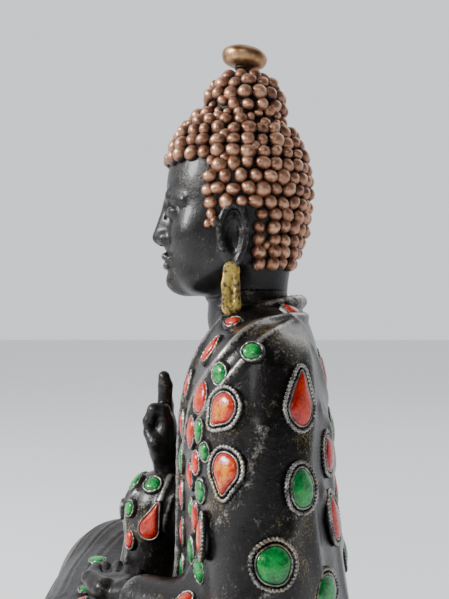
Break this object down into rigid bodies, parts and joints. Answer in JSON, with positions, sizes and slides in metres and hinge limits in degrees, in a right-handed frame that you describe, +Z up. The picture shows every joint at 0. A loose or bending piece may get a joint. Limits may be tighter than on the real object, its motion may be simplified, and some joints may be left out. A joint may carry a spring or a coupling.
{
  "type": "seated buddha statue",
  "caption": "Seated robed buddha figure with raised teaching hand, pellet hair, turned finial, long gilded earlobes and raised stone settings over the robe, on a closed flat base.",
  "frame": {"origin": "the upright axis through the middle of the body, at the height of the surface that the felt pad stands on", "axes": "+Z up; the figure looks along -Y and its left side is +X"},
  "size_m": [0.4239, 0.244, 0.4783],
  "materials": {
    "antique_black": "antique black cast resin, dry-brushed silver on the high places",
    "antique_skin": "black cast resin rubbed to a soft sheen",
    "bezel_silver": "antiqued silver paint",
    "copper_paint": "copper rose paint, worn dark in the gaps",
    "dark_bronze": "dark bronze",
    "dowel_wood": "plain beech dowel",
    "felt": "dark green felt",
    "gilding": "old gilding, speckled dark",
    "green_stone": "glossy green enamel stone",
    "orange_stone": "glossy orange enamel stone, yellow in the middle",
    "red_stone": "glossy red enamel stone",
    "rope_silver": "antiqued silver twist",
    "satin_bronze": "satin bronze",
    "screw_steel": "plain steel",
    "stained_wood": "dark stained board"
  },
  "bodies": {
    "root": {"base_plate": "stained_wood", "base_screws": "screw_steel", "crown_pellets": "copper_paint", "felt_pad": "felt", "finial_knob": "satin_bronze", "finial_stem": "dark_bronze", "finial_stud": "screw_steel", "green_marquises": "green_stone", "green_ovals": "green_stone", "head_casting": "antique_skin", "lap_hand": "antique_skin", "left_earlobe": "gilding", "marquise_bezels": "bezel_silver", "nape_pellets": "copper_paint", "neck_dowel": "dowel_wood", "orange_ovals": "orange_stone", "orange_teardrops": "orange_stone", "oval_bezels": "bezel_silver", "raised_hand": "antique_skin", "red_marquises": "red_stone", "red_ovals": "red_stone", "red_teardrops": "red_stone", "right_earlobe": "gilding", "robe_casting": "antique_black", "rope_rings": "rope_silver", "teardrop_bezels": "bezel_silver", "temple_pellets": "copper_paint", "topknot_pellets": "copper_paint"}
  },
  "joints": []
}
